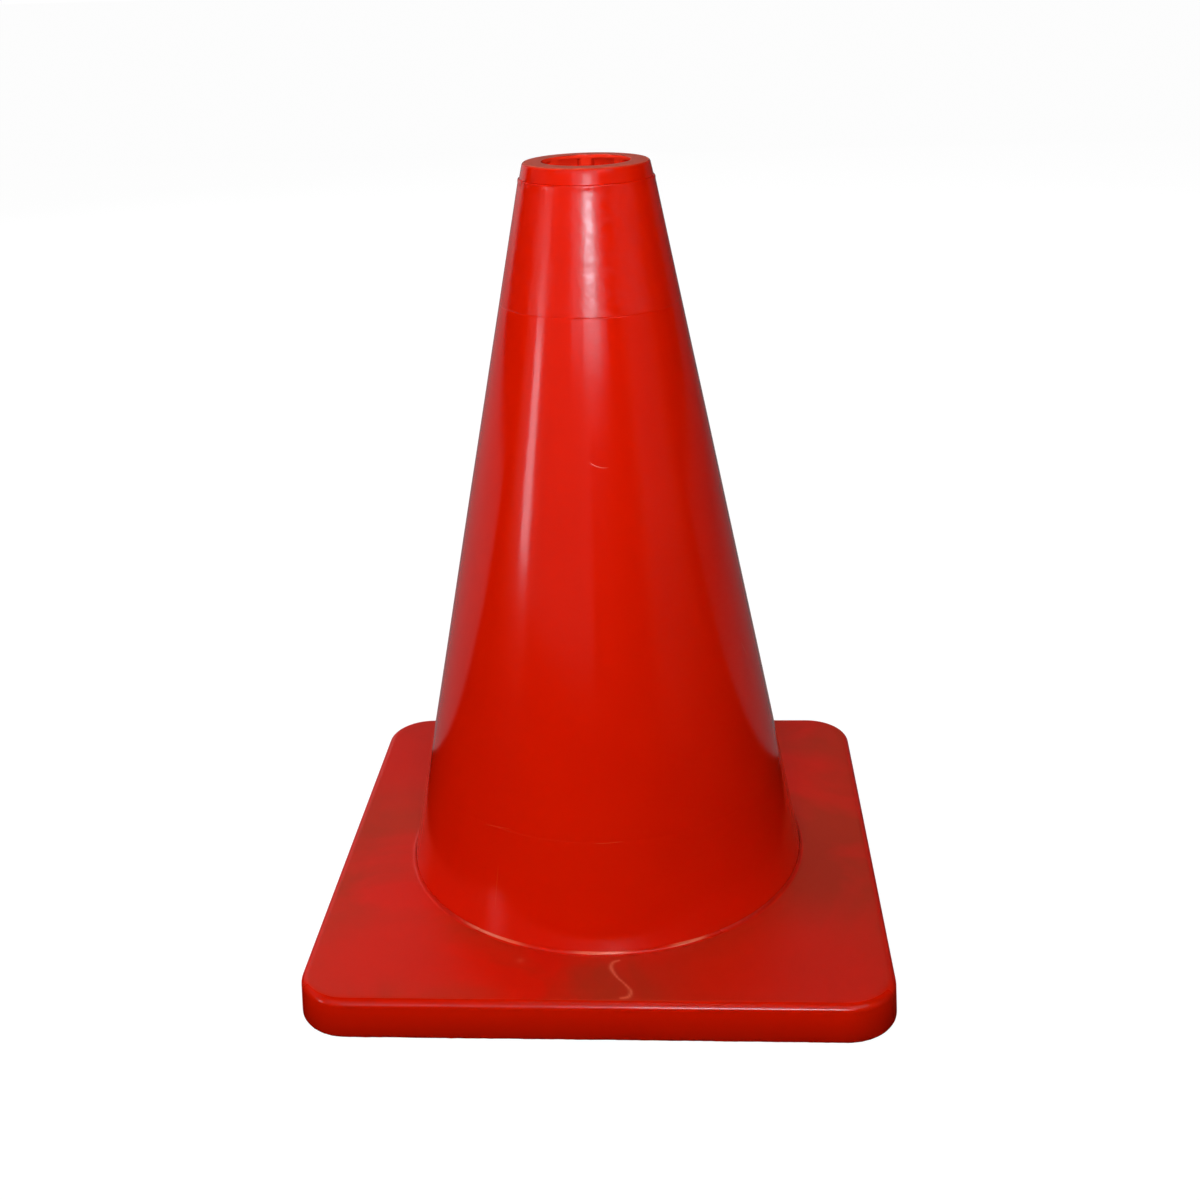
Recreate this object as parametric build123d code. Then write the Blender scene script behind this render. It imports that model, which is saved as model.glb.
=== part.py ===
"""A 305 mm (12 inch) traffic cone in moulded PVC, in millimetres.

A thin tapered cone body stands in a square base. Its foot flange is trapped between the glossy base cover
above and the heavy ballast slab below, and eight pegs pin the three together. A ribbed neck ring closes the
tip. The origin is on the ground under the cone's axis, +Z is up, and the base's sides lie along X and Y.
"""

import os
from math import atan, cos, degrees, radians, sin, tan

from build123d import *

# Driving sizes
HEIGHT = 305.0  # ground to rim
BASE_WIDTH = 229.0  # across the flats of the base, at the ground
BASE_TOP = 17.0  # top face of the base
CORNER = 20.5  # radius of the base's corners at the ground
FOOT_RADIUS = 83.7  # outside of the cone where it meets the top of the base
TIP_RADIUS = 23.8  # outside of the cone's taper carried up to the rim
WALL = 2.4  # cone body, square to its face
DRAFT = 3.7  # degrees, on every upright face of the base

# Neck
RIM_BAND = 5.6  # height of the ring that shows above the cone body
RIM_STEP = 0.35  # the ring's face lies this far inside the cone's taper
RIM_ROUND = 1.3  # rounding of the rim's outer edge
BORE_ROUND = 0.3  # rounding of the rim's inner edge
NECK_BORE = 16.3  # radius of the opening
LIP = 1.3  # full-circle edge at the top of the opening
POCKET_RADIUS = 19.2  # wall between the ribs
RIB_COUNT = 8
RIB_WIDTH = 5.6
RIB_BORE = 16.5  # the ribs' inner faces
RIB_TURN = 3.8  # degrees, turns the ribs about the axis
SPIGOT = 10.4  # length that plugs into the cone body
GLUE_GAP = 0.1

# Cone body
WITNESS_HEIGHTS = (61.9, 254.5)  # fine grooves left by the mould's inserts
WITNESS_WIDTH = 0.6
WITNESS_DEPTH = 0.2
FLANGE_RADIUS = 98.0
FLANGE_THICKNESS = 2.7

# Base cover
COVER_LIFT = 1.0  # the skirt hangs clear of the ground
COVER_PLATE = 5.0
COVER_SKIRT = 4.0
COVER_EDGE = 3.5  # rounding of the top edge
SEAM_GAP = 0.1  # between the cone and the hole that it comes up through
COLLAR_ROUND = 1.8  # hollow rounding of the collar that hugs the cone's foot
COLLAR_EDGE = 0.15  # thickness of the collar's top edge

# Ballast slab
SLAB_LIFT = 2.5  # the slab's underside, held up by its feet
SLAB_GAP = 0.4  # to the cover's skirt
CORNER_FOOT_RADIUS = 12.0
CORNER_FOOT_PLACE = 90.0
SIDE_FOOT_RADIUS = 8.5
SIDE_FOOT_PLACE = 97.5
FOOT_ROUND = 0.8

# Pegs
PEG_COUNT = 8
PEG_CIRCLE = 92.0  # radius of the circle of pegs
PEG_RADIUS = 3.0
PEG_CLEARANCE = 0.1
PEG_HEAD_RADIUS = 5.5
PEG_HEAD = 2.0
PEG_RECESS = 2.2  # depth of the recess that sinks the head
SOCKET_DEPTH = 3.2

# Sizes that follow
TAPER = (FOOT_RADIUS - TIP_RADIUS) / (HEIGHT - BASE_TOP)
WALL_ACROSS = WALL / cos(atan(TAPER))
BAND_BOTTOM = HEIGHT - RIM_BAND
SPIGOT_BOTTOM = BAND_BOTTOM - SPIGOT
PLATE_BOTTOM = BASE_TOP - COVER_PLATE
FLANGE_BOTTOM = PLATE_BOTTOM - FLANGE_THICKNESS
RECESS_TOP = SLAB_LIFT + PEG_RECESS


def outside(z):
    """Radius of the cone's outer face at height z."""
    return FOOT_RADIUS - TAPER * (z - BASE_TOP)


def inside(z):
    """Radius of the cone's inner face at height z."""
    return outside(z) - WALL_ACROSS


def turned(outline):
    """The solid that a closed outline of (radius, height) points sweeps round the Z axis."""
    return revolve(Plane.XZ * make_face(Polyline(*outline, close=True)), Axis.Z)


def tapered_plug(bottom, top, radius_at):
    """A solid of revolution between two heights, with its radius given by a function of height."""
    return turned([(0, bottom), (radius_at(bottom), bottom), (radius_at(top), top), (0, top)])


def drum(radius, bottom, top):
    """A plain upright cylinder between two heights."""
    return Pos(0, 0, bottom) * Cylinder(radius, top - bottom, align=(Align.CENTER, Align.CENTER, Align.MIN))


def base_block(inset, bottom, top):
    """The base's outer form drawn in by inset, between two heights, with its corners and draft."""
    drawn_in = inset + bottom * tan(radians(DRAFT))
    width = BASE_WIDTH - 2 * drawn_in
    outline = RectangleRounded(width, width, CORNER - drawn_in)
    return Pos(0, 0, bottom) * extrude(outline, top - bottom, taper=DRAFT)


def round_the_axis(shape, radius, count, first_angle):
    """Copies of a shape at equal steps round the Z axis."""
    return [Rot(0, 0, first_angle + n * 360 / count) * Pos(radius, 0, 0) * shape for n in range(count)]


def at_pegs(shape):
    """Copies of a shape at the pegs, which stand clear of the middles and corners of the sides."""
    return round_the_axis(shape, PEG_CIRCLE, PEG_COUNT, 180 / PEG_COUNT)


def make_cone_body():
    """The tapered shell, with its witness grooves and the foot flange that the base traps."""
    outer_face = []
    for z in WITNESS_HEIGHTS:
        low, high = z - WITNESS_WIDTH / 2, z + WITNESS_WIDTH / 2
        outer_face += [(outside(low), low), (outside(z) - WITNESS_DEPTH, z), (outside(high), high)]
    shell = turned(
        [
            (inside(FLANGE_BOTTOM), FLANGE_BOTTOM),
            (FLANGE_RADIUS, FLANGE_BOTTOM),
            (FLANGE_RADIUS, PLATE_BOTTOM),
            (outside(PLATE_BOTTOM), PLATE_BOTTOM),
            *outer_face,
            (outside(BAND_BOTTOM), BAND_BOTTOM),
            (inside(BAND_BOTTOM), BAND_BOTTOM),
        ]
    )
    return shell - at_pegs(drum(PEG_RADIUS + PEG_CLEARANCE, FLANGE_BOTTOM, PLATE_BOTTOM))


def make_neck_ring():
    """The ring that closes the tip: a band that shows, a lip, a spigot in the cone, and ribs for stacking."""
    pocket_top = HEIGHT - LIP
    ring = turned(
        [
            (NECK_BORE, HEIGHT),
            (outside(HEIGHT) - RIM_STEP, HEIGHT),
            (outside(BAND_BOTTOM) - RIM_STEP, BAND_BOTTOM),
            (inside(BAND_BOTTOM) - GLUE_GAP, BAND_BOTTOM),
            (inside(SPIGOT_BOTTOM) - GLUE_GAP, SPIGOT_BOTTOM),
            (POCKET_RADIUS, SPIGOT_BOTTOM),
            (POCKET_RADIUS, pocket_top),
            (NECK_BORE, pocket_top),
        ]
    )
    top_edges = ring.edges().group_by(Axis.Z)[-1].sort_by(SortBy.RADIUS)
    ring = fillet(top_edges[-1], RIM_ROUND)
    top_edges = ring.edges().group_by(Axis.Z)[-1].sort_by(SortBy.RADIUS)
    ring = fillet(top_edges[0], BORE_ROUND)

    rib_depth = POCKET_RADIUS - RIB_BORE
    side = [
        (RIB_BORE, pocket_top),
        (RIB_BORE, SPIGOT_BOTTOM + rib_depth),
        (POCKET_RADIUS, SPIGOT_BOTTOM),
        (POCKET_RADIUS + 1, SPIGOT_BOTTOM),
        (POCKET_RADIUS + 1, pocket_top),
    ]
    rib = extrude(Plane.XZ * make_face(Polyline(*side, close=True)), RIB_WIDTH / 2, both=True)
    return ring + round_the_axis(rib, 0, RIB_COUNT, RIB_TURN)


def make_collar():
    """The ring that rises from the cover round the cone's foot, with a hollow rounding on its outside."""
    lean = atan(TAPER)
    middle_z = BASE_TOP + COLLAR_ROUND
    middle_r = outside(middle_z) + SEAM_GAP + COLLAR_EDGE + COLLAR_ROUND / cos(lean)
    toe = (middle_r, BASE_TOP)
    halfway = radians(270 - (90 - degrees(lean)) / 2)
    waist = (middle_r + COLLAR_ROUND * cos(halfway), middle_z + COLLAR_ROUND * sin(halfway))
    top = (middle_r - COLLAR_ROUND * cos(lean), middle_z - COLLAR_ROUND * sin(lean))
    inner_top = (outside(top[1]) + SEAM_GAP, top[1])
    sunk = BASE_TOP - 1
    section = ThreePointArc(toe, waist, top) + Polyline(
        top, inner_top, (outside(sunk) + SEAM_GAP, sunk), (middle_r, sunk), toe
    )
    return revolve(Plane.XZ * make_face(section), Axis.Z)


def make_base_cover():
    """The glossy square cap: a plate with the cone's hole, a drafted skirt, and a socket for each peg."""
    block = base_block(0, COVER_LIFT, BASE_TOP)
    block = fillet(block.edges().group_by(Axis.Z)[-1], COVER_EDGE)
    block -= base_block(COVER_SKIRT, COVER_LIFT, PLATE_BOTTOM)
    block -= tapered_plug(PLATE_BOTTOM, BASE_TOP, lambda z: outside(z) + SEAM_GAP)
    block += make_collar()
    return block - at_pegs(drum(PEG_RADIUS + PEG_CLEARANCE, PLATE_BOTTOM, PLATE_BOTTOM + SOCKET_DEPTH))


def make_foot(radius):
    """One round foot under the slab, with its lower edge rounded."""
    foot = drum(radius, 0, SLAB_LIFT)
    return fillet(foot.edges().group_by(Axis.Z)[0], FOOT_ROUND)


def make_ballast_slab():
    """The heavy slab inside the base, with a rebate for the cone's flange, the peg holes and eight feet."""
    slab = base_block(COVER_SKIRT + SLAB_GAP, SLAB_LIFT, PLATE_BOTTOM)
    for x in (-CORNER_FOOT_PLACE, CORNER_FOOT_PLACE):
        for y in (-CORNER_FOOT_PLACE, CORNER_FOOT_PLACE):
            slab += Pos(x, y, 0) * make_foot(CORNER_FOOT_RADIUS)
    slab += round_the_axis(make_foot(SIDE_FOOT_RADIUS), SIDE_FOOT_PLACE, 4, 0)
    slab -= tapered_plug(SLAB_LIFT, FLANGE_BOTTOM, inside)
    slab -= drum(FLANGE_RADIUS + SLAB_GAP, FLANGE_BOTTOM, PLATE_BOTTOM)
    slab -= at_pegs(drum(PEG_RADIUS + PEG_CLEARANCE, RECESS_TOP, FLANGE_BOTTOM))
    return slab - at_pegs(drum(PEG_HEAD_RADIUS + PEG_CLEARANCE, SLAB_LIFT, RECESS_TOP))


def make_locking_pegs():
    """Eight headed pegs, driven up through the slab and the flange into the cover's sockets."""
    shank_top = PLATE_BOTTOM + SOCKET_DEPTH - PEG_CLEARANCE
    peg = drum(PEG_RADIUS, RECESS_TOP, shank_top) + drum(PEG_HEAD_RADIUS, RECESS_TOP - PEG_HEAD, RECESS_TOP)
    return Compound(children=at_pegs(peg))


os.makedirs("parts", exist_ok=True)
parts = {
    "cone_body": make_cone_body(),
    "neck_ring": make_neck_ring(),
    "base_cover": make_base_cover(),
    "ballast_slab": make_ballast_slab(),
    "locking_pegs": make_locking_pegs(),
}
for name, shape in parts.items():
    export_step(shape, f"parts/{name}.step")
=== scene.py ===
"""A 12 inch traffic cone in red moulded PVC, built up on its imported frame.

The sections follow the way the cone goes together: ballast slab, cone body, neck ring, base cover and
locking pegs, and then the studio that it stands in. The cone's sizes are in millimetres, and each mesh is
turned into metres as it is made. The studio is in metres.
"""

from math import atan, cos, degrees, pi, radians, sin, tan

import bpy
import numpy as np
from mathutils import Matrix, Vector, noise


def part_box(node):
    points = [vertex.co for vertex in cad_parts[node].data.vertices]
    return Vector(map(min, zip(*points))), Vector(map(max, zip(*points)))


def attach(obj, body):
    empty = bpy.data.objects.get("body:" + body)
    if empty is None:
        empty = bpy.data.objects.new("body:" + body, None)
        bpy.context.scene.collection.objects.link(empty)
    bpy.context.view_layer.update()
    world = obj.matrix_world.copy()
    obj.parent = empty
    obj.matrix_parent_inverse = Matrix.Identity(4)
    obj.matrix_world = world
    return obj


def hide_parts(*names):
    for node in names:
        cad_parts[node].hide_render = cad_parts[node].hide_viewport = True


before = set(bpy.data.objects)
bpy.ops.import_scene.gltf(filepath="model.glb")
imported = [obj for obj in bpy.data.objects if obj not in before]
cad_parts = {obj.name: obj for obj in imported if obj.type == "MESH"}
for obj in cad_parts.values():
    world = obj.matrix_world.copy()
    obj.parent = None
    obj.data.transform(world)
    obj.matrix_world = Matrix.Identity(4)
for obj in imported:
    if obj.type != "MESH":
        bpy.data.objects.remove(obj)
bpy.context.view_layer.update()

MM = 0.001  # metres

# ---------------------------------------------------------------------------------------------------------
# Ballast slab
# A heavy slab of black crumb, ground from old PVC and tyres, pressed hot in a mould. It gives the cone its
# weight, and its eight round feet are all that touches the ground.
# ---------------------------------------------------------------------------------------------------------


def linear(hex_colour):
    """A screen colour such as "c81e0a" as linear red, green, blue and alpha."""
    parts = [int(hex_colour[i : i + 2], 16) / 255 for i in (0, 2, 4)]
    return [c / 12.92 if c <= 0.04045 else ((c + 0.055) / 1.055) ** 2.4 for c in parts] + [1.0]


def add(material, kind, inputs, **settings):
    """Adds a node with its settings. An input is a value, or a node or socket that it is linked from."""
    made = material.node_tree.nodes.new("ShaderNode" + kind)
    for name, value in settings.items():
        setattr(made, name, value)
    for name, value in inputs.items():
        socket = made.inputs[name] if isinstance(name, int) else next(
            s for s in made.inputs if s.name == name and s.enabled
        )
        if isinstance(value, bpy.types.Node):
            value = next(s for s in value.outputs if s.enabled)
        if isinstance(value, bpy.types.NodeSocket):
            material.node_tree.links.new(value, socket)
        else:
            socket.default_value = value
    return made


def new_material(name):
    """An empty material, and the point of the object that it is shading, in metres."""
    material = bpy.data.materials.new(name)
    material.use_nodes = True
    material.node_tree.nodes.clear()
    return material, add(material, "TexCoord", {}).outputs["Object"]


# Crumb rubber scatters light evenly and has hardly any shine. The crumbs are 1 to 3 mm across, and a few
# are grey or red from the cones that they were ground from.
CRUMB = 2.2  # width of a crumb
GRIT = 0.6  # width of the unevenness on a crumb
crumb_rubber, place = new_material("pressed crumb rubber")
crumbs = add(crumb_rubber, "TexVoronoi", {"Vector": place, "Scale": 1 / (CRUMB * MM)})
shade = add(crumb_rubber, "SeparateColor", {"Color": crumbs.outputs["Color"]})
red_crumbs = add(crumb_rubber, "Math", {0: shade.outputs["Red"], 1: 0.93}, operation="GREATER_THAN")
dark = add(
    crumb_rubber,
    "Mix",
    {"Factor": shade.outputs["Green"], "A": linear("141414"), "B": linear("33312f")},
    data_type="RGBA",
)
mixed = add(crumb_rubber, "Mix", {"Factor": red_crumbs, "A": dark, "B": linear("5a1a12")}, data_type="RGBA")
grit = add(crumb_rubber, "TexNoise", {"Vector": place, "Scale": 1 / (GRIT * MM), "Detail": 3.0})
hollows = {0: crumbs.outputs["Distance"], 1: -1.2, 2: grit}
height = add(crumb_rubber, "Math", hollows, operation="MULTIPLY_ADD")
relief = add(crumb_rubber, "Bump", {"Height": height, "Strength": 0.6, "Distance": 0.25 * MM})
surface = add(
    crumb_rubber,
    "BsdfPrincipled",
    {"Base Color": mixed, "Roughness": 0.82, "IOR": 1.52, "Normal": relief},
)
add(crumb_rubber, "OutputMaterial", {"Surface": surface})

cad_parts["ballast_slab"].material_slots[0].material = crumb_rubber

# ---------------------------------------------------------------------------------------------------------
# Cone body
# One injection moulding in soft red PVC, 2.4 mm thick, drawn off a long steel core. Inserts in the mould
# leave two fine rings round it, and its foot spreads into a flange that the base holds.
# ---------------------------------------------------------------------------------------------------------

BASE_TOP = 17.0
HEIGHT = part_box("neck_ring")[1].z / MM
BODY_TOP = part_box("cone_body")[1].z / MM
FLANGE_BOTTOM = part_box("cone_body")[0].z / MM
FLANGE_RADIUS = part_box("cone_body")[1].x / MM
FLANGE_THICKNESS = 2.7
FOOT_RADIUS = 83.7  # outside of the cone at the top of the base
TIP_RADIUS = 23.8  # outside of the cone's taper carried up to the rim
TAPER = (FOOT_RADIUS - TIP_RADIUS) / (HEIGHT - BASE_TOP)
LEAN = atan(TAPER)
WALL = 2.4  # square to the face
WALL_ACROSS = WALL / cos(LEAN)
LOWER_RING = 61.9  # heights of the two fine rings
UPPER_RING = 254.5
RING_DEPTHS = {LOWER_RING: 0.03, UPPER_RING: 0.08}
RING_WIDTH = 0.6
RING_SECTION = ((-0.4, 0), (-0.25, 0.7), (0, 1), (0.25, 0.7), (0.4, 0))  # shares of its width and its depth
WARP = ((0.10, 70), (0.015, 19))  # depth and length of the waves in the cone's face
BURR_REACH = 0.22  # most that the burr on the body's top edge stands out
BURR_BAND = 1.5  # height of the edge that the burr runs over
TOP_EDGE = ((0, 0.9), (0, 0.45), (0.02, 0.2), (0.12, 0.05), (0.35, 0.0))  # how far in and down its rows lie
COLUMNS = 384  # points round every turned piece
ROW_STEP = 2.2  # height of a row of faces on the cone's face
INNER_STEP = 12.0  # and inside it


def outside(z):
    """Radius of the cone's outer face at a height."""
    return FOOT_RADIUS - TAPER * (z - BASE_TOP)


def arc(centre, radius, start, end, steps):
    """Points along an arc of a section, between two angles in degrees."""
    turn = [radians(start + (end - start) * i / steps) for i in range(steps + 1)]
    return [(centre[0] + radius * cos(a), centre[1] + radius * sin(a)) for a in turn]


def evenly(start, end, step):
    """Values from start up to or down to end, both included, about a step apart."""
    count = max(1, round(abs(end - start) / step))
    return [start + (end - start) * i / count for i in range(count + 1)]


def closed_skin(rows, columns):
    """Faces that join every row of points to the next, right round, and the last row to the first."""
    faces = []
    for row in range(rows):
        here, above = row * columns, (row + 1) % rows * columns
        for column in range(columns):
            beside = (column + 1) % columns
            faces.append((here + column, here + beside, above + beside, above + column))
    return faces


def make_piece(name, rows, material, slot, *cad_nodes):
    """A piece whose rows of points, in millimetres, make one closed skin. It stands for some CAD nodes."""
    mesh = bpy.data.meshes.new(name)
    points = [(x * MM, y * MM, z * MM) for row in rows for x, y, z in row]
    mesh.from_pydata(points, [], closed_skin(len(rows), len(rows[0])))
    mesh.shade_smooth()
    mesh.set_sharp_from_angle(angle=radians(35))
    mesh.materials.append(material)
    piece = bpy.data.objects.new(name, mesh)
    bpy.context.scene.collection.objects.link(piece)
    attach(piece, "root")
    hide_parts(*cad_nodes)
    return piece


def turned_row(radius, z, push=None):
    """Points round the axis at a height. A push, given angle and height, moves each one outwards."""
    row = []
    for column in range(COLUMNS):
        angle = 2 * pi * column / COLUMNS
        r = radius + (push(angle, z) if push else 0)
        row.append((r * cos(angle), r * sin(angle), z))
    return row


def unevenness(angle, z):
    """How far a soft moulding has pulled out of true as it cooled."""
    r = outside(z)
    at = Vector((r * cos(angle), r * sin(angle), z))
    return sum(depth * noise.noise(at / length) for depth, length in WARP)


def burr(angle, z):
    """Ragged flash on the body's top edge, where the mould's halves met, on top of the unevenness."""
    at = Vector((TIP_RADIUS * cos(angle), TIP_RADIUS * sin(angle), 0))
    ragged = 0.5 + 0.5 * noise.noise(at / 6) + 0.5 * noise.noise(at / 1.3)
    return unevenness(angle, z) + BURR_REACH * max(0.0, min(1.0, ragged))


plate_bottom = FLANGE_BOTTOM + FLANGE_THICKNESS
body_rows = [turned_row(outside(FLANGE_BOTTOM) - WALL_ACROSS, FLANGE_BOTTOM)]
body_rows.append(turned_row(FLANGE_RADIUS, FLANGE_BOTTOM))
body_rows.append(turned_row(FLANGE_RADIUS, plate_bottom))
low = plate_bottom
for ring, depth in RING_DEPTHS.items():
    body_rows += [turned_row(outside(z), z, unevenness) for z in evenly(low, ring - RING_WIDTH / 2, ROW_STEP)]
    for across, share in RING_SECTION:
        z = ring + across * RING_WIDTH
        body_rows.append(turned_row(outside(z) - depth * share, z, unevenness))
    low = ring + RING_WIDTH / 2
body_rows += [turned_row(outside(z), z, unevenness) for z in evenly(low, BODY_TOP - BURR_BAND, ROW_STEP)]
for step_in, drop in TOP_EDGE:
    body_rows.append(turned_row(outside(BODY_TOP - drop) - step_in, BODY_TOP - drop, burr))
for z in evenly(BODY_TOP, FLANGE_BOTTOM, INNER_STEP)[:-1]:
    body_rows.append(turned_row(outside(z) - WALL_ACROSS, z))

PVC_RED = "e71b00"
PVC_RED_DEEP = "de1700"  # where the pigment is a little richer
PVC_IOR = 1.53


def pigment(material, place):
    """The red of the PVC, faintly clouded where its pigment was stirred in, about 30 mm across."""
    clouds = add(material, "TexNoise", {"Vector": place, "Scale": 1 / (30 * MM), "Detail": 3.0})
    colours = {"Factor": clouds, "A": linear(PVC_RED), "B": linear(PVC_RED_DEEP)}
    return add(material, "Mix", colours, data_type="RGBA")


def streaks(material, place, across, along):
    """Noise drawn out up the mould's face, from the way that the melt ran and the moulding was pulled off."""
    stretch = (1 / (across * MM), 1 / (across * MM), 1 / (along * MM))
    drawn = add(material, "VectorMath", {0: place, 1: stretch}, operation="MULTIPLY")
    return add(material, "TexNoise", {"Vector": drawn, "Scale": 1.0, "Detail": 4.0, "Roughness": 0.6})


def pits(material, place, spacing, width):
    """One small round pit or nib in each cell, 1 at its middle and 0 outside it."""
    cells = add(material, "TexVoronoi", {"Vector": place, "Scale": 1 / (spacing * MM)})
    edge = width / spacing / 2
    inside = {"Value": cells.outputs["Distance"], "From Max": edge, "To Min": 1, "To Max": 0}
    return add(material, "MapRange", inside)


def hairline(material, place, middle, centre, length, width):
    """A fine scratch, part of a sphere about a centre where it cuts the surface, 1 on it and 0 off it."""
    middle, centre = Vector(middle) * MM, Vector(centre) * MM
    from_centre = add(material, "VectorMath", {0: place, 1: centre}, operation="DISTANCE").outputs["Value"]
    off_line = add(material, "Math", {0: from_centre, 1: (middle - centre).length}, operation="SUBTRACT")
    off_line = add(material, "Math", {0: off_line}, operation="ABSOLUTE")
    on_line = add(
        material, "MapRange", {"Value": off_line, "From Max": width / 2 * MM, "To Min": 1, "To Max": 0}
    )
    from_middle = add(material, "VectorMath", {0: place, 1: middle}, operation="DISTANCE").outputs["Value"]
    reach = {"Value": from_middle, "From Min": length * 0.25 * MM, "From Max": length / 2 * MM}
    inside = add(material, "MapRange", {**reach, "To Min": 1, "To Max": 0})
    return add(material, "Math", {0: on_line, 1: inside}, operation="MULTIPLY")


# Soft PVC from a polished steel mould has a wet shine below the upper ring. Above it the mould's insert was
# only sanded, so the shine spreads and mottles there. Flow has left faint upright streaks and small nibs, and
# use has left a few fine scratches.
LONE_SCRATCH = ((4.0, -44.9, 202.6), (6.5, -44.4, 210.5), 8, 0.25)  # as below, and its width
FAINT_SCRATCHES = (  # middle, centre of its curve, and length
    ((-40, -69, 38), (260, -240, 38), 20),
    ((-38.6, -63.4, 62.2), (-20, -60, -40), 14),
    ((5.2, -74.2, 61.7), (0, -80, 190), 13),
    ((-46, 31, 150), (20, 90, 170), 30),
    ((30, 48, 165), (-60, 40, 150), 14),
    ((55, -22, 118), (70, 60, 150), 12),
)
FAINT = 0.35  # their width, and their share of the lone one's strength
cone_pvc, place = new_material("moulded soft PVC, red, polished and sanded mould")
cone_red = pigment(cone_pvc, place)
cone_streaks = streaks(cone_pvc, place, 2.5, 70)
up_the_cone = add(cone_pvc, "SeparateXYZ", {0: place}).outputs["Z"]
insert_edge = {"From Min": (UPPER_RING - 0.4) * MM, "From Max": (UPPER_RING + 0.4) * MM}
sanded = add(cone_pvc, "MapRange", {"Value": up_the_cone, **insert_edge})
peel = add(cone_pvc, "TexNoise", {"Vector": place, "Scale": 1 / (2.6 * MM), "Detail": 3.0})
blotches = add(cone_pvc, "MapRange", {"Value": peel, "From Min": 0.36, "From Max": 0.64})
blotches = add(cone_pvc, "Math", {0: blotches, 1: sanded}, operation="MULTIPLY")
finish = add(cone_pvc, "MapRange", {"Value": blotches, "To Min": 0.09, "To Max": 0.22})
shine = add(cone_pvc, "Math", {0: cone_streaks, 1: 0.05, 2: finish}, operation="MULTIPLY_ADD")
scratches = hairline(cone_pvc, place, *LONE_SCRATCH)
for scratch in FAINT_SCRATCHES:
    one = hairline(cone_pvc, place, *scratch, FAINT)
    faint = add(cone_pvc, "Math", {0: one, 1: FAINT}, operation="MULTIPLY")
    scratches = add(cone_pvc, "Math", {0: scratches, 1: faint}, operation="MAXIMUM")
nibs = pits(cone_pvc, place, 6.5, 0.7)
peel_depth = add(cone_pvc, "MapRange", {"Value": sanded, "To Min": 1.5, "To Max": 5.0})
height = add(cone_pvc, "Math", {0: peel, 1: peel_depth, 2: nibs}, operation="MULTIPLY_ADD")
height = add(cone_pvc, "Math", {0: cone_streaks, 1: 1.8, 2: height}, operation="MULTIPLY_ADD")
height = add(cone_pvc, "Math", {0: scratches, 1: -1.5, 2: height}, operation="MULTIPLY_ADD")
relief = add(cone_pvc, "Bump", {"Height": height, "Strength": 1.0, "Distance": 0.012 * MM})
scuffed = add(
    cone_pvc, "Mix", {"Factor": scratches, "A": cone_red, "B": linear("ef6a4c")}, data_type="RGBA"
)
surface = add(
    cone_pvc,
    "BsdfPrincipled",
    {"Base Color": scuffed, "Roughness": shine, "IOR": PVC_IOR, "Normal": relief},
)
add(cone_pvc, "OutputMaterial", {"Surface": surface})

make_piece("cone_shell", body_rows, cone_pvc, "cone_pvc", "cone_body")

# ---------------------------------------------------------------------------------------------------------
# Neck ring
# A thick ring in the same red PVC, cemented into the tip of the cone body. Ribs inside it keep stacked
# cones apart, and the band above the joint stands a little inside the cone's face.
# ---------------------------------------------------------------------------------------------------------

RIM_STEP = 0.35  # how far the band stands in from the cone's face
RIM_BAND = HEIGHT - BODY_TOP
RIM_ROUND = 1.3
RIM_FLAT = (2.5, 4.2)  # how far out from the bore the rows on the flat of the rim lie
BAND_DRAFT = 0.02  # how much more the band leans in than the cone's face
BAND_TOP = 1.6  # how far below the rim the straight of the band starts
BAND_EDGE = 0.1  # rounding of its lower edge
BAND_STEP = 0.6  # height of a row of faces on it
JOINT = 0.02  # open line between the band and the body
NECK_BORE = 16.3
BORE_ROUND = 0.3
LIP = 1.3
POCKET_RADIUS = 19.2
RIB_BORE = 16.5
RIB_COUNT = 8
RIB_WIDTH = 5.6
RIB_TURN = 3.8  # degrees that the ribs are turned round the axis
RIB_BLEND = 0.5  # rounding at a rib's sides
RIB_STEP = 0.9  # height of a row of faces on the ribs
GLUE_GAP = 0.1
SPIGOT_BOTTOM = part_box("neck_ring")[0].z / MM


def rib(angle, z):
    """How far the wall between the ribs comes in towards the axis, on a rib and at its rounded sides."""
    pitch = 2 * pi / RIB_COUNT
    off_middle = abs((angle - radians(RIB_TURN) + pitch / 2) % pitch - pitch / 2) * POCKET_RADIUS
    share = min(1.0, max(0.0, (RIB_WIDTH / 2 + RIB_BLEND - off_middle) / (2 * RIB_BLEND)))
    run_out = min(1.0, (z - SPIGOT_BOTTOM) / (POCKET_RADIUS - RIB_BORE))
    return -(POCKET_RADIUS - RIB_BORE) * share * share * (3 - 2 * share) * run_out


band_face = outside(HEIGHT) - RIM_STEP - RIM_BAND * BAND_DRAFT
round_middle = (band_face - RIM_ROUND * tan((pi / 2 - LEAN) / 2), HEIGHT - RIM_ROUND)
rim_section = arc(round_middle, RIM_ROUND, 90, degrees(LEAN), 8)
spigot_face = outside(BODY_TOP) - WALL_ACROSS - GLUE_GAP
bore_section = arc((NECK_BORE + BORE_ROUND, HEIGHT - BORE_ROUND), BORE_ROUND, 180, 90, 4)

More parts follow.
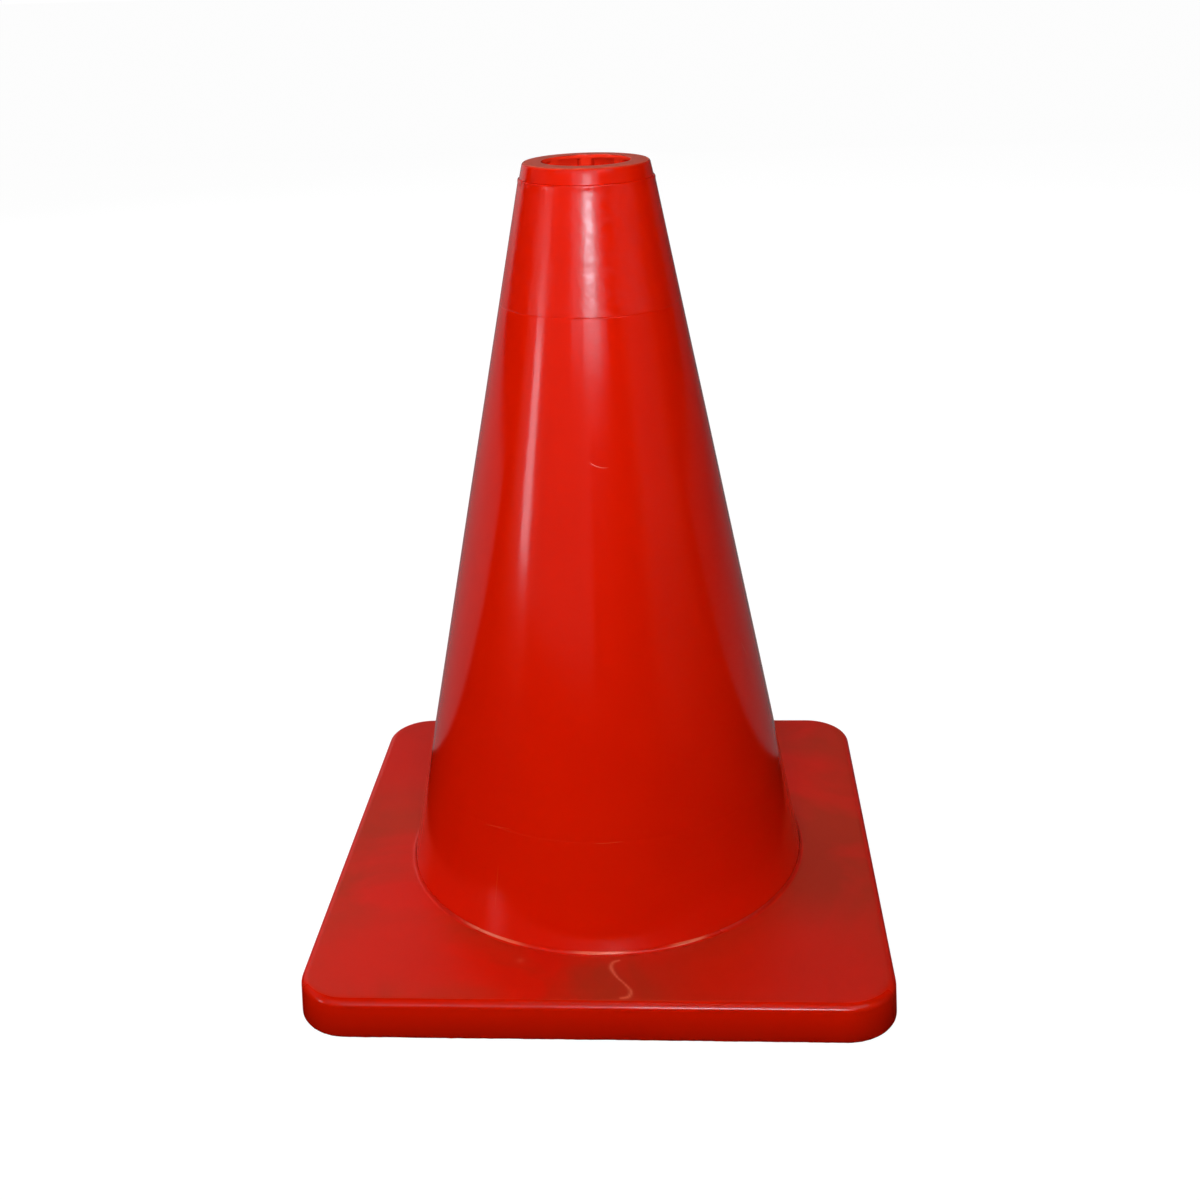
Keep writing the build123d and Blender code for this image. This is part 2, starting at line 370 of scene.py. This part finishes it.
neck_rows = [turned_row(NECK_BORE + r, HEIGHT) for r in (BORE_ROUND, *RIM_FLAT)]
neck_rows += [turned_row(r, z) for r, z in rim_section]
for z in evenly(HEIGHT - BAND_TOP, BODY_TOP + JOINT + BAND_EDGE, BAND_STEP):
    neck_rows.append(turned_row(outside(z) - RIM_STEP - (z - BODY_TOP) * BAND_DRAFT, z))
neck_rows.append(turned_row(outside(BODY_TOP) - RIM_STEP - BAND_EDGE, BODY_TOP + JOINT))
neck_rows.append(turned_row(spigot_face, BODY_TOP))
neck_rows.append(turned_row(outside(SPIGOT_BOTTOM) - WALL_ACROSS - GLUE_GAP, SPIGOT_BOTTOM))
neck_rows += [turned_row(POCKET_RADIUS, z, rib) for z in evenly(SPIGOT_BOTTOM, HEIGHT - LIP, RIB_STEP)]
neck_rows.append(turned_row(NECK_BORE, HEIGHT - LIP))
neck_rows += [turned_row(r, z) for r, z in bore_section][:-1]

# The ring came from a fully polished mould, so its band mirrors the windows sharply, with fine marks round it
# where the mould was turned. Stacked cones have rubbed its flat top to a satin, and the flat top is painted
# paler as a painted sheen. The inside is painted a brighter red, as painted light that the lamps don't bring
# into the bore.
neck_pvc, place = new_material("moulded soft PVC, red, polished mould")
neck_red = pigment(neck_pvc, place)
turning = add(neck_pvc, "VectorMath", {0: place, 1: (150, 150, 2500)}, operation="MULTIPLY")
turning = add(neck_pvc, "TexNoise", {"Vector": turning, "Scale": 1.0, "Detail": 2.0})
nibs = pits(neck_pvc, place, 3.5, 0.6)
height = add(neck_pvc, "Math", {0: turning, 1: 0.3, 2: nibs}, operation="MULTIPLY_ADD")
relief = add(neck_pvc, "Bump", {"Height": height, "Strength": 1.0, "Distance": 0.012 * MM})
from_axis = add(neck_pvc, "VectorMath", {0: place, 1: (1, 1, 0)}, operation="MULTIPLY")
from_axis = add(neck_pvc, "VectorMath", {0: from_axis}, operation="LENGTH").outputs["Value"]
# Painted light: inside the pocket radius the colour is brightened, standing in for light that doesn't reach
# the bore.
inside_edge = {"From Min": POCKET_RADIUS * MM, "From Max": (POCKET_RADIUS + 0.5) * MM}
inside = add(neck_pvc, "MapRange", {"Value": from_axis, **inside_edge, "To Min": 1, "To Max": 0})
neck_colour_with_painted_light = add(neck_pvc, "Mix", {"Factor": inside, "A": neck_red, "B": linear("fb3218")}, data_type="RGBA")
outward = add(neck_pvc, "NewGeometry", {}).outputs["Normal"]
upward = add(neck_pvc, "SeparateXYZ", {0: outward}).outputs["Z"]
# Painted sheen: faces that look up are painted paler; the same mask also makes them rougher, a rubbed satin.
top_sheen_and_satin = add(neck_pvc, "MapRange", {"Value": upward, "From Min": 0.55, "From Max": 0.95})
neck_colour_with_painted_light = add(neck_pvc, "Mix", {"Factor": top_sheen_and_satin, "A": neck_colour_with_painted_light, "B": linear("e05740")}, data_type="RGBA")
polish = add(neck_pvc, "MapRange", {"Value": turning, "To Min": 0.10, "To Max": 0.16})
shine = add(neck_pvc, "Math", {0: top_sheen_and_satin, 1: 0.2, 2: polish}, operation="MULTIPLY_ADD")
surface = add(
    neck_pvc,
    "BsdfPrincipled",
    {"Base Color": neck_colour_with_painted_light, "Roughness": shine, "IOR": PVC_IOR, "Normal": relief},
)
add(neck_pvc, "OutputMaterial", {"Surface": surface})

make_piece("neck_collar", neck_rows, neck_pvc, "neck_pvc", "neck_ring")

# ---------------------------------------------------------------------------------------------------------
# Base cover
# A square cap in red PVC, 5 mm thick on top, moulded with a skirt that hides the slab. The cone comes up
# through its hole, where a small collar with a hollow rounding hugs the cone's foot and catches the light.
# ---------------------------------------------------------------------------------------------------------

BASE_WIDTH = 229.0  # at the ground
CORNER = 20.5
DRAFT = radians(3.7)
COVER_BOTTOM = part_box("base_cover")[0].z / MM
COVER_SKIRT = 4.0
COVER_EDGE = 3.5
SEAM_GAP = 0.1
COLLAR_ROUND = 1.8
COLLAR_EDGE = 0.15
CORNER_STEPS = 18  # columns round each corner
SIDE_STEPS = (60, 60, 60, 220)  # columns along the right, back and left sides and the front
FLAT_ROWS = 60  # rows from the collar to the edge
UNDER_ROWS = 6  # rows under the cover, from the skirt to the hole
SKIRT_STEP = 1.5  # height of a row of faces on the side
SKIRT_FLASH = 0.3  # most that the trimmed flash stands out


def outline_points():
    """The centre of curvature and the outward normal of each column of the base's outline."""
    straight = BASE_WIDTH / 2 - CORNER
    columns = []
    for quarter, steps in enumerate(SIDE_STEPS):
        turn = Matrix.Rotation(quarter * pi / 2, 2)
        for i in range(steps):
            y = -straight + 2 * straight * i / steps
            columns.append((turn @ Vector((straight, y)), turn @ Vector((1, 0))))
        for i in range(CORNER_STEPS):
            a = pi / 2 * i / CORNER_STEPS
            columns.append((turn @ Vector((straight, straight)), turn @ Vector((cos(a), sin(a)))))
    return columns


base_columns = outline_points()


def base_row(inset, z, push=None):
    """Points round the base's outline drawn in by inset, at a height. A push moves each one outwards."""
    row = []
    for core, normal in base_columns:
        out = CORNER - inset + (push(core + normal * CORNER) if push else 0)
        row.append((*(core + normal * out), z))
    return row


def hole_row(radius, z):
    """Points round the cone's hole, one for each column of the outline."""
    return [(*(Vector((x, y)).normalized() * radius), z) for x, y, z in base_row(COVER_EDGE, z)]


def between(inner, outer, share):
    """A row part of the way from one row to another."""
    return [tuple(Vector(a).lerp(Vector(b), share)) for a, b in zip(inner, outer)]


def wall_inset(z):
    """How far the drafted side of the base has drawn in at a height."""
    return z * tan(DRAFT)


def trimmed_flash(at):
    """What is left of the flash along the skirt's lower edge, trimmed by hand with a knife."""
    ragged = 0.35 + 0.6 * noise.noise((at / 14).to_3d()) + 0.5 * noise.noise((at / 2.5).to_3d())
    return SKIRT_FLASH * max(0.0, min(1.0, ragged))


collar_middle = BASE_TOP + COLLAR_ROUND
collar_radius = outside(collar_middle) + SEAM_GAP + COLLAR_EDGE + COLLAR_ROUND / cos(LEAN)
collar_section = arc((collar_radius, collar_middle), COLLAR_ROUND, 180 + degrees(LEAN), 270, 12)
collar_top = collar_section[0][1]
edge_middle = (wall_inset(BASE_TOP - COVER_EDGE) + COVER_EDGE / cos(DRAFT), BASE_TOP - COVER_EDGE)
edge_section = arc((0, 0), COVER_EDGE, 90, degrees(DRAFT), 12)
lower_edge = ((0.1, 0.6, None), (0.35, 0.25, trimmed_flash), (0.5, 0.0, trimmed_flash))  # in, up and flash

hole_low = hole_row(outside(plate_bottom) + SEAM_GAP, plate_bottom)
cover_rows = [hole_low]
cover_rows.append(hole_row(outside(collar_top) + SEAM_GAP, collar_top))
cover_rows += [hole_row(r, z) for r, z in collar_section]
flat_inner = cover_rows[-1]
flat_outer = base_row(edge_middle[0], BASE_TOP)
cover_rows += [between(flat_inner, flat_outer, i / FLAT_ROWS) for i in range(1, FLAT_ROWS)]
cover_rows += [base_row(edge_middle[0] - x, edge_middle[1] + z) for x, z in edge_section]
for z in evenly(edge_middle[1] - 1, COVER_BOTTOM + 1.2, SKIRT_STEP):
    cover_rows.append(base_row(wall_inset(z), z))
for step_in, rise, push in lower_edge:
    cover_rows.append(base_row(wall_inset(COVER_BOTTOM) + step_in, COVER_BOTTOM + rise, push))
cover_rows.append(base_row(COVER_SKIRT + wall_inset(COVER_BOTTOM), COVER_BOTTOM))
cover_rows.append(base_row(COVER_SKIRT + wall_inset(plate_bottom), plate_bottom))
flat_under = cover_rows[-1]
cover_rows += [between(flat_under, hole_low, i / UNDER_ROWS) for i in range(1, UNDER_ROWS)]


def smooth_path(points, steps):
    """Points along a smooth curve through the points given, by Catmull and Rom's rule."""
    knots = [np.array(p, float) for p in (points[0], *points, points[-1])]
    path = []
    for before, a, b, after in zip(knots, knots[1:], knots[2:], knots[3:]):
        for t in np.arange(steps) / steps:
            bend = (b - before) * t + (2 * before - 5 * a + 4 * b - after) * t * t
            path.append(a + 0.5 * (bend + (3 * a - before - 3 * b + after) * t * t * t))
    return np.array(path)


# A raised flow line like an S, where two fronts of the melt met in front of the cone, painted pale as the
# highlight that its ridge catches, and to its left a filled gas bubble. A painted highlight runs along the
# collar's lip.
FLOW_LINE = (
    (8.6, -87.1),
    (6.3, -88.5),
    (5.9, -92.0),
    (8.3, -97.2),
    (11.4, -101.4),
    (13.8, -105.6),
    (13.1, -109.0),
    (10.3, -109.9),
)
FLOW_LINE_WIDTHS = (0.5, 0.65, 0.75, 0.45, 0.4, 0.6, 0.75, 0.5)
FLOW_LINE_RISE = 0.05
FLOW_LINE_STEPS = 12  # points along each stretch of it
BUBBLE = (-29.5, -87.5)
BUBBLE_RADIUS = 1.3
BUBBLE_WHITE = 0.3  # how white it is beside the flow line
LIP_HIGHLIGHT = ((-30, 9), (1, 7), (25, 5))  # degrees from the front, and half width, of the painted highlight on the collar's lip
LIP_DEPTH = 0.9  # how far down the collar that painted highlight shows
SINK_DEPTH = 0.06
SINK_WIDTH = 45


def pale_marks_at(rows):
    """How pale each point of the rows is: the flow line, pale as a painted highlight on its ridge, the
    bubble, and a painted highlight on the collar's lip.
    """
    points = np.array(rows).reshape(-1, 3)
    path = smooth_path(FLOW_LINE, FLOW_LINE_STEPS)
    along = np.arange(len(path)) / FLOW_LINE_STEPS
    widths = np.interp(along, range(len(FLOW_LINE_WIDTHS)), FLOW_LINE_WIDTHS)
    apart = np.linalg.norm(points[:, None, :2] - path[None], axis=2)
    line = np.exp(-((apart / widths) ** 2)).max(axis=1)
    from_bubble = np.linalg.norm(points[:, :2] - BUBBLE, axis=1)
    dot = BUBBLE_WHITE * np.exp(-((from_bubble / BUBBLE_RADIUS) ** 2))
    from_front = np.degrees(np.arctan2(points[:, 0], -points[:, 1]))
    lip = sum(np.exp(-(((from_front - middle) / width) ** 4)) for middle, width in LIP_HIGHLIGHT)
    lip = lip * (points[:, 2] > collar_top - LIP_DEPTH)
    return np.maximum(np.maximum(line, dot) * (points[:, 2] > BASE_TOP - 0.5), lip)


def sink(x, y):
    """How far the cover's top has sunk between its ribs and edges as it cooled."""
    return -SINK_DEPTH * (1 + noise.noise(Vector((x, y, 0)) / SINK_WIDTH))


pale_marks_and_highlight = pale_marks_at(cover_rows)
flat_points = np.array(cover_rows)
near_flat = 2 + len(collar_section)
for row in range(near_flat, near_flat + FLAT_ROWS - 1):
    share = (row - near_flat + 1) / FLAT_ROWS
    ease = min(1.0, 4 * share, 4 * (1 - share))  # no sink at the collar and at the edge
    for column, (x, y, z) in enumerate(flat_points[row]):
        rise = FLOW_LINE_RISE * pale_marks_and_highlight[row * len(base_columns) + column]
        flat_points[row, column, 2] = z + rise + ease * sink(x, y)

# The cover's front side and its collar keep the mould's polish, and its other sides are knocked dull. Its top
# is worn to a fine satin, under a thin brown film of dust and plasticiser that hands and feet have rubbed off
# in patches, and the same film is also a painted greyish sheen. Painted shade darkens the skirt towards the
# ground, and the collar's crease behind the cone, which is also rougher there.
FILM_CLOUD = 55  # width of a cloud in the film
RUBBED_CLEAN = ((-86, -84, 42), (80, -90, 60), (-102, 70, 60))  # middle of each patch, and its reach
base_pvc, place = new_material("moulded soft PVC, red, worn satin")
base_red = pigment(base_pvc, place)
outward = add(base_pvc, "NewGeometry", {}).outputs["Normal"]
upward = add(base_pvc, "SeparateXYZ", {0: outward}).outputs["Z"]
# The film on the top faces is partly dust and partly a painted greyish sheen, and it is thinner in patches.
on_top = add(base_pvc, "MapRange", {"Value": upward, "From Min": 0.9, "From Max": 0.995})
clouds = {"Vector": place, "Scale": 1 / (FILM_CLOUD * MM), "Detail": 4.0, "Roughness": 0.5, "Distortion": 0.6}
film_and_sheen = add(base_pvc, "TexNoise", clouds)
film_and_sheen = add(base_pvc, "MapRange", {"Value": film_and_sheen, "From Min": 0.36, "From Max": 0.62})
film_and_sheen = add(base_pvc, "Math", {0: film_and_sheen, 1: on_top}, operation="MULTIPLY")
for x, y, reach in RUBBED_CLEAN:
    spot = {0: place, 1: (x * MM, y * MM, BASE_TOP * MM)}
    off_spot = add(base_pvc, "VectorMath", spot, operation="DISTANCE").outputs["Value"]
    left_on = {"Value": off_spot, "From Min": reach * 0.2 * MM, "From Max": reach * MM, "To Min": 0.15}
    left_on = add(base_pvc, "MapRange", left_on, interpolation_type="SMOOTHSTEP")
    film_and_sheen = add(base_pvc, "Math", {0: film_and_sheen, 1: left_on}, operation="MULTIPLY")
thin_film_and_sheen = add(base_pvc, "Math", {0: film_and_sheen, 1: 0.34}, operation="MULTIPLY")
dusty_and_sheen = add(base_pvc, "Mix", {"Factor": thin_film_and_sheen, "A": base_red, "B": linear("4c4420")}, data_type="RGBA")
# Pale marks: the bubble, and painted highlight on the flow line and along the collar's lip.
white = add(base_pvc, "Attribute", {}, attribute_name="pale_marks_and_highlight").outputs["Fac"]
white_share = add(base_pvc, "Math", {0: white, 1: 0.75}, operation="MULTIPLY")
marked = add(base_pvc, "Mix", {"Factor": white_share, "A": dusty_and_sheen, "B": linear("ff7a58")}, data_type="RGBA")
where = add(base_pvc, "SeparateXYZ", {0: place})
# Painted shade: the skirt is darkened towards the ground.
low_down = {"Value": where.outputs["Z"], "From Min": 1 * MM, "From Max": 12 * MM, "To Min": 0.4, "To Max": 0}
painted_ground_shade = add(base_pvc, "MapRange", low_down)
marked = add(base_pvc, "Mix", {"Factor": painted_ground_shade, "A": marked, "B": linear("5a0a04")}, data_type="RGBA")
# Painted shade: the collar's crease behind the cone is darkened, and it is also made rougher there.
collar_rise = {"From Min": (BASE_TOP + 0.05) * MM, "From Max": (BASE_TOP + 0.4) * MM}
in_collar = add(base_pvc, "MapRange", {"Value": where.outputs["Z"], **collar_rise})
behind = {"Value": where.outputs["Y"], "From Min": -80 * MM, "From Max": -62 * MM}
behind = add(base_pvc, "MapRange", behind)
shaded_crease = add(base_pvc, "Math", {0: in_collar, 1: behind}, operation="MULTIPLY")
crease_shade_share = add(base_pvc, "Math", {0: shaded_crease, 1: 0.22}, operation="MULTIPLY")
marked = add(base_pvc, "Mix", {"Factor": crease_shade_share, "A": marked, "B": linear("3c0c06")}, data_type="RGBA")
top_shine = add(base_pvc, "MapRange", {"Value": film_and_sheen, "To Min": 0.34, "To Max": 0.46})
knocked = {"From Min": -110 * MM, "From Max": -97 * MM, "To Min": 0.11, "To Max": 0.4}
edge_shine = add(base_pvc, "MapRange", {"Value": where.outputs["Y"], **knocked})
shine = add(base_pvc, "Mix", {"Factor": on_top, "A": edge_shine, "B": top_shine}, data_type="FLOAT")
shine = add(base_pvc, "Mix", {"Factor": in_collar, "A": shine, "B": 0.06}, data_type="FLOAT")
shine = add(base_pvc, "Mix", {"Factor": shaded_crease, "A": shine, "B": 0.4}, data_type="FLOAT")
peel = add(base_pvc, "TexNoise", {"Vector": place, "Scale": 1 / (2.2 * MM), "Detail": 2.0})
nibs = pits(base_pvc, place, 9.0, 0.7)
height = add(base_pvc, "Math", {0: peel, 1: 0.3, 2: nibs}, operation="MULTIPLY_ADD")
relief = add(base_pvc, "Bump", {"Height": height, "Strength": 1.0, "Distance": 0.012 * MM})
surface = add(
    base_pvc,
    "BsdfPrincipled",
    {"Base Color": marked, "Roughness": shine, "IOR": PVC_IOR, "Normal": relief},
)
add(base_pvc, "OutputMaterial", {"Surface": surface})

cover = make_piece("base_cap", flat_points.tolist(), base_pvc, "base_pvc", "base_cover")
cover.data.attributes.new("pale_marks_and_highlight", "FLOAT", "POINT").data.foreach_set("value", pale_marks_and_highlight)

# ---------------------------------------------------------------------------------------------------------
# Locking pegs
# Eight headed pegs in rigid black PVC, driven up through the slab and the cone's flange into sockets in the
# cover. Only their heads show, sunk in the slab's underside.
# ---------------------------------------------------------------------------------------------------------

# Rigid PVC from a spark-eroded mould has an even, fine grain, so its shine is broad and grey.
peg_pvc, place = new_material("moulded rigid PVC, black, fine grain")
grain = add(peg_pvc, "TexNoise", {"Vector": place, "Scale": 1 / (0.25 * MM), "Detail": 3.0})
peg_black = add(
    peg_pvc, "Mix", {"Factor": grain, "A": linear("18181a"), "B": linear("242426")}, data_type="RGBA"
)
peg_shine = add(peg_pvc, "MapRange", {"Value": grain, "To Min": 0.38, "To Max": 0.5})
relief = add(peg_pvc, "Bump", {"Height": grain, "Strength": 0.5, "Distance": 0.04 * MM})
surface = add(
    peg_pvc,
    "BsdfPrincipled",
    {"Base Color": peg_black, "Roughness": peg_shine, "IOR": 1.54, "Normal": relief},
)
add(peg_pvc, "OutputMaterial", {"Surface": surface})
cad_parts["locking_pegs"].material_slots[0].material = peg_pvc

# ---------------------------------------------------------------------------------------------------------
# Studio
# A white paper floor under large soft lamps that fill the shadows, and small cool windows that draw the
# bright streaks on the PVC. A grey paper sweep behind the cone glows with painted light, for its sides to
# mirror.
# ---------------------------------------------------------------------------------------------------------

scene = bpy.context.scene
scene.view_settings.view_transform = "Standard"


def sheet(name, corners, faces, material):
    """A flat or folded sheet of the studio, which is not part of the cone."""
    mesh = bpy.data.meshes.new(name)
    mesh.from_pydata(corners, [], faces)
    mesh.materials.append(material)
    made = bpy.data.objects.new(name, mesh)
    scene.collection.objects.link(made)
    return made


def square(half, z):
    """The corners of a level square."""
    return [(-half, -half, z), (half, -half, z), (half, half, z), (-half, half, z)]


# White paper lit from below as well as above, so that only a breath of shadow shows on it.
floor_paper = new_material("matt white paper, lit through")[0]
surface = add(
    floor_paper,
    "BsdfPrincipled",
    {
        "Base Color": linear("505050"),
        "Roughness": 0.9,
        "Specular IOR Level": 0.0,
        "Emission Color": linear("ffffff"),
        "Emission Strength": 0.98,
    },
)
add(floor_paper, "OutputMaterial", {"Surface": surface})
floor = sheet("floor", square(20, 0), [(0, 1, 2, 3)], floor_paper)
floor.visible_glossy = False
floor.visible_diffuse = False

# Card under the paper, which throws a little light back up at the cone and is dark in the base's shadow.
CARD_LEVEL = -0.0005
bounce_card = new_material("matt grey card")[0]
surface = add(bounce_card, "BsdfPrincipled", {"Base Color": linear("767676"), "Roughness": 0.9})
add(bounce_card, "OutputMaterial", {"Surface": surface})
bounce = sheet("bounce", square(3, CARD_LEVEL), [(0, 1, 2, 3)], bounce_card)
bounce.visible_camera = False
bounce.visible_glossy = False

# The sweep is no lamp, but glows with painted light, brightest low down and on the left. It lies on the card
# from just behind the base and curves up far behind the cone.
SWEEP_START = 0.118
SWEEP_HALF = 4
sweep_paper, place = new_material("grey paper sweep, glowing with painted light")
spot = add(sweep_paper, "SeparateXYZ", {0: place})
sideways = {"Value": spot.outputs["X"], "From Min": -1.0, "From Max": 1.0, "To Min": 0.27, "To Max": 0.06}
upwards = {"Value": spot.outputs["Z"], "From Min": 0.3, "From Max": 1.3, "To Min": 1.0, "To Max": 0.33}
sideways = add(sweep_paper, "MapRange", sideways)
upwards = add(sweep_paper, "MapRange", upwards)
strength = add(sweep_paper, "Math", {0: sideways, 1: upwards}, operation="MULTIPLY")
glow = add(sweep_paper, "Emission", {"Color": linear("fbfbff"), "Strength": strength})
add(sweep_paper, "OutputMaterial", {"Surface": glow})
sweep_section = [(y, CARD_LEVEL) for y in (SWEEP_START, 1.2, 2.6)] + [(2.9, 0.1), (3.0, 0.4), (3.0, 2.4)]
sweep_corners = [(x, y, z) for y, z in sweep_section for x in (-SWEEP_HALF, SWEEP_HALF)]
sweep_faces = [(2 * i, 2 * i + 1, 2 * i + 3, 2 * i + 2) for i in range(len(sweep_section) - 1)]
sweep = sheet("sweep", sweep_corners, sweep_faces, sweep_paper)
sweep.visible_camera = False
sweep.visible_diffuse = False

# The room beyond the paper is white, and lights nothing.
world = bpy.data.worlds.new("room")
scene.world = world
world.use_nodes = True
world.node_tree.nodes["Background"].inputs["Color"].default_value = (1, 1, 1, 1)
world.cycles_visibility.diffuse = False
world.cycles_visibility.glossy = False

AIM = Vector((0, 0, 0.15))  # the middle of the cone


def lamp(name, azimuth, elevation, distance, width, high, brightness, colour, shiny):
    """A rectangle of light facing the cone, at degrees round from -Y towards +X and up. It lights the
    surface's colour or, where shiny, shows in its gloss."""
    light = bpy.data.lights.new(name, "AREA")
    light.shape = "RECTANGLE"
    light.size = width
    light.size_y = high
    light.color = linear(colour)[:3]
    light.energy = pi * width * high * brightness
    made = bpy.data.objects.new(name, light)
    scene.collection.objects.link(made)
    a, e = radians(azimuth), radians(elevation)
    away = Vector((sin(a) * cos(e), -cos(a) * cos(e), sin(e)))
    made.location = AIM + away * distance
    made.rotation_euler = away.to_track_quat("Z", "Y").to_euler()
    made.visible_camera = False
    made.visible_diffuse = not shiny
    made.visible_glossy = shiny


# Lamps for the colour: name, azimuth, elevation, distance, width, height, brightness
for placing in (
    ("near lamp", 4, 26, 0.62, 0.20, 0.12, 16.5),
    ("high near lamp", 0, 52, 0.5, 0.2, 0.15, 8.6),
    ("lamp over the neck", 0, 70, 0.34, 0.06, 0.06, 1.3),
    ("left lamp", -65, 6, 2.0, 0.8, 0.6, 8.4),
    ("right lamp", 62, 8, 2.0, 1.4, 0.9, 1.7),
    ("back left lamp", -140, 25, 2.0, 1.2, 0.8, 4.5),
    ("back lamp", 180, 40, 2.0, 2.0, 1.2, 1.0),
    ("back right lamp", 140, 12, 2.0, 1.2, 0.6, 1.5),
):
    lamp(*placing, "ffffff", False)

# Windows for the gloss: name, azimuth, elevation, distance, width, height, brightness, colour
for placing in (
    ("bright window", 4.4, 18.0, 2.0, 0.40, 0.17, 19.0, "cbf2ff"),
    ("window surround", 5.0, 16.0, 2.0, 0.70, 0.32, 1.3, "d0f0ff"),
    ("wide window", 1.0, 22.0, 2.0, 1.50, 0.70, 0.9, "d0f0ff"),
    ("left window", -60.5, 4.0, 2.0, 0.28, 0.38, 4.0, "e6f6ff"),
    ("left window top", -60.5, 12.5, 2.0, 0.40, 0.24, 0.7, "e6f6ff"),
    ("front left wall", -30, 8, 2.0, 2.2, 0.8, 0.16, "fff4e8"),
    ("front left pane", -38, 38, 2.0, 1.2, 1.2, 0.29, "ffffff"),
    ("front right pane", 35, 40, 2.0, 1.2, 1.2, 0.77, "ffffff"),
    ("left pane", -90, 30, 2.0, 1.4, 1.4, 0.12, "ffffff"),
    ("back left pane", -140, 12, 2.0, 1.2, 0.8, 0.2, "ffffff"),
):
    lamp(*placing, True)

# The camera stands a little to the right, looks down, and is tilted slightly in the hand.
camera_data = bpy.data.cameras.new("camera")
camera = bpy.data.objects.new("camera", camera_data)
scene.collection.objects.link(camera)
scene.camera = camera
camera_data.lens = 45.35
camera_data.sensor_width = 36.0
SWING = radians(3.82)
DOWN = radians(23.14)
TILT = radians(-1.85)
CAMERA_PLACE = (0.03786, -0.56715, 0.37378)
ahead = Vector((-sin(SWING) * cos(DOWN), cos(SWING) * cos(DOWN), -sin(DOWN)))
level = ahead.cross(Vector((0, 0, 1))).normalized()
upright = level.cross(ahead)
across = cos(TILT) * level + sin(TILT) * upright
turned = Matrix((across, upright * cos(TILT) - level * sin(TILT), -ahead)).transposed().to_4x4()
camera.matrix_world = Matrix.Translation(CAMERA_PLACE) @ turned
